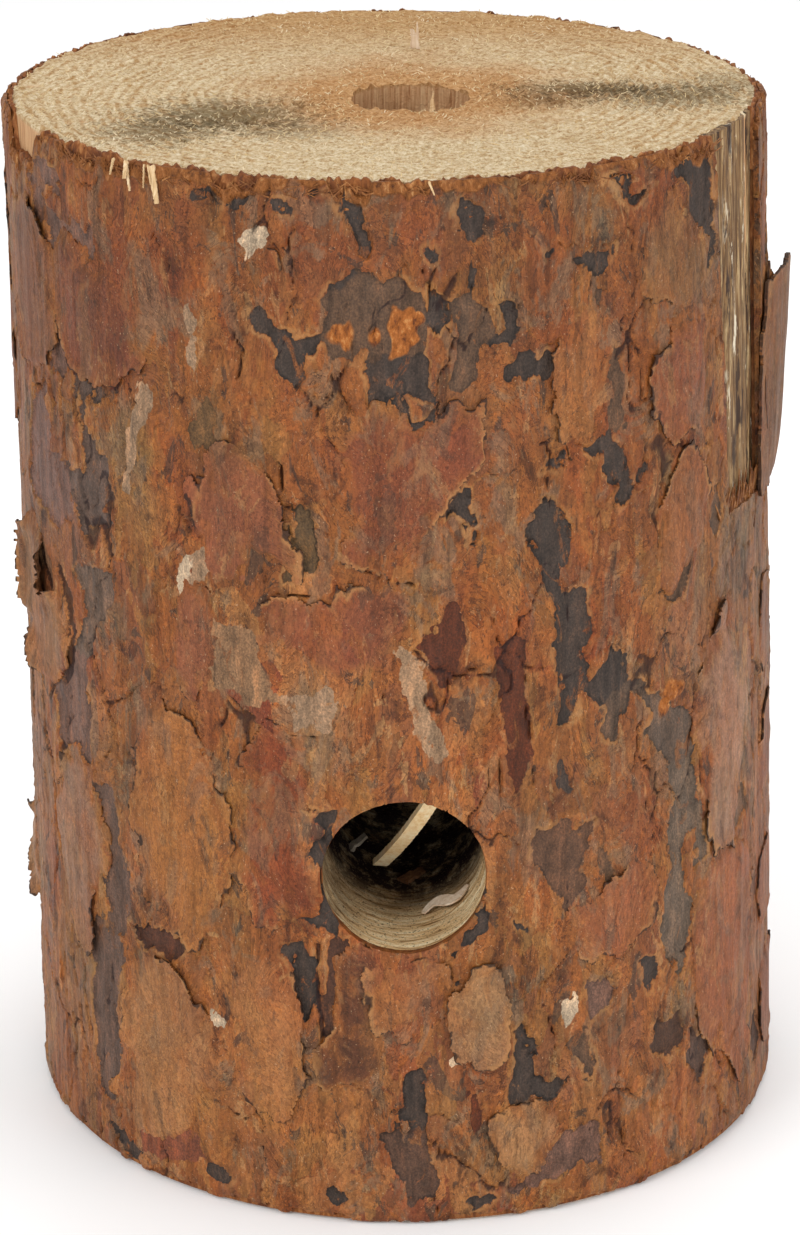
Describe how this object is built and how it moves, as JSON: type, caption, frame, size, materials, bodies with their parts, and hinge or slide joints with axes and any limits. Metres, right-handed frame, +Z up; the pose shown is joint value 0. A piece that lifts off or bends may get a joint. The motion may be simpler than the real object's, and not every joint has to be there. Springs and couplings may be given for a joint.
{
  "type": "drilled log",
  "caption": "Upright bark-on pine log section with a vertical chimney bore from the sawn top that meets a draught bore from the front, and a loose kindling stick in it.",
  "frame": {"origin": "centre of the sawn base, on the surface that the log stands on", "axes": "+Z up along the log; the draught bore opens towards -Y, the front; +X is to the right seen from the front"},
  "size_m": [0.15, 0.1482, 0.2042],
  "materials": {
    "bark_dark": "dull, rough",
    "bark_grey": "weathered, satin",
    "bark_maroon": "smooth, satin",
    "bark_ochre": "papery, satin",
    "bark_orange": "papery, satin",
    "inner_bark": "fibrous, torn",
    "pale_splinter": "fresh split wood",
    "sapwood": "rough sawn end grain"
  },
  "bodies": {
    "log": {"wood_core": "sapwood", "inner_bark": "inner_bark", "outer_bark": "bark_orange", "strip_fibres": "inner_bark", "flap_outer": "bark_orange", "flap_inner": "bark_dark", "bore_shaving": "pale_splinter", "bore_chip": "bark_grey", "bore_fragment": "inner_bark", "bore_rim_chip": "bark_maroon", "rim_splinter_long": "pale_splinter", "rim_splinter_curved": "pale_splinter", "rim_splinter_knobbed": "pale_splinter", "rim_splinter_short": "pale_splinter", "rim_splinter_front": "pale_splinter", "face_splinter": "pale_splinter", "chimney_splinter": "pale_splinter", "scale_maroon_centre": "bark_maroon", "scale_maroon_lobed": "bark_maroon", "scale_maroon_low": "bark_maroon", "scale_maroon_narrow": "bark_maroon", "scale_beside_bore": "bark_maroon", "scale_round_top": "bark_ochre", "scale_upper_left": "bark_maroon", "scale_far_left": "bark_orange", "scale_grey_left": "bark_grey", "scale_lifting": "bark_ochre", "scale_low_left": "bark_ochre", "scale_low_mid": "bark_ochre", "scale_dark_wedge": "bark_dark", "scale_under_bore": "bark_ochre", "scale_right_of_bore": "bark_ochre", "scale_foot": "bark_ochre", "scale_orange_right": "bark_orange", "scale_pointed": "bark_grey", "scale_orange_tall": "bark_orange", "scale_leaf": "bark_ochre", "scale_upper_right": "bark_maroon", "scale_mid_right": "bark_orange", "scale_tall_right": "bark_orange", "scale_oval": "bark_orange", "scale_edge_left": "bark_grey", "scales_right_low": "bark_orange", "scales_right_mid": "bark_ochre", "scales_right_high": "bark_maroon", "scales_back_right_low": "bark_ochre", "scales_back_right_mid": "bark_grey", "scales_back_right_high": "bark_orange", "scales_back_low": "bark_maroon", "scales_back_mid": "bark_orange", "scales_back_high": "bark_ochre", "scales_left_low": "bark_orange", "scales_left_mid": "bark_maroon", "scales_left_high": "bark_grey"},
    "stick": {"kindling_stick": "pale_splinter"}
  },
  "joints": [
    {"name": "stick_slide", "type": "slide", "parent": "log", "child": "stick", "axis": [0, -1, 0], "range_m": [0, 0.06]}
  ]
}
